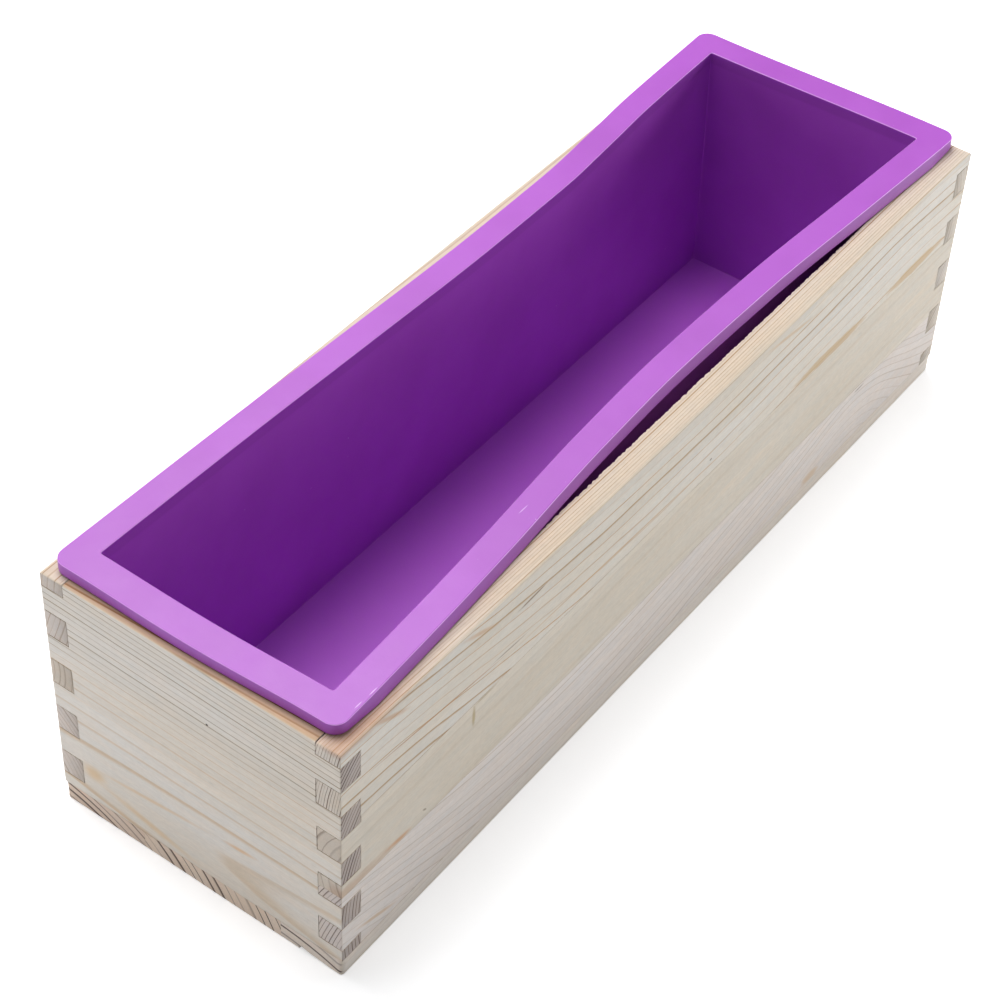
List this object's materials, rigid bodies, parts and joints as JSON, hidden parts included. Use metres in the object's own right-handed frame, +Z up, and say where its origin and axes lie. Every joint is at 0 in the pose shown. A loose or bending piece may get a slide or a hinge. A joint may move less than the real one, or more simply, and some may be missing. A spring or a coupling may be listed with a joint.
{
  "type": "soap loaf mould",
  "caption": "Long open-topped pine box with finger-jointed corners and a drop-in flexible silicone liner whose flange rests on the rim, for casting loaf soap.",
  "frame": {"origin": "centre of the underside of the bottom board", "axes": "+X along the length, +Y across the width, towards the rear board, +Z up, the way the liner lifts out"},
  "size_m": [0.28, 0.089, 0.0846],
  "materials": {
    "pine_front": "raw planed pine, matte",
    "pine_rear": "raw planed pine, matte",
    "pine_end": "raw planed pine, fine straight grain, matte",
    "pine_bottom": "raw planed pine, matte",
    "silicone": "violet moulded silicone, satin, slightly translucent"
  },
  "bodies": {
    "box": {"front_upper_stave": "pine_front", "front_middle_stave": "pine_front", "front_lower_stave": "pine_front", "rear_upper_stave": "pine_rear", "rear_middle_stave": "pine_rear", "rear_lower_stave": "pine_rear", "left_end_board": "pine_end", "right_end_board": "pine_end", "bottom_front_stave": "pine_bottom", "bottom_middle_stave": "pine_bottom", "bottom_rear_stave": "pine_bottom"},
    "liner": {"silicone_liner": "silicone"}
  },
  "joints": [
    {"name": "liner_lift", "type": "slide", "parent": "box", "child": "liner", "axis": [0, 0, 1], "range_m": [0, 0.09]}
  ]
}
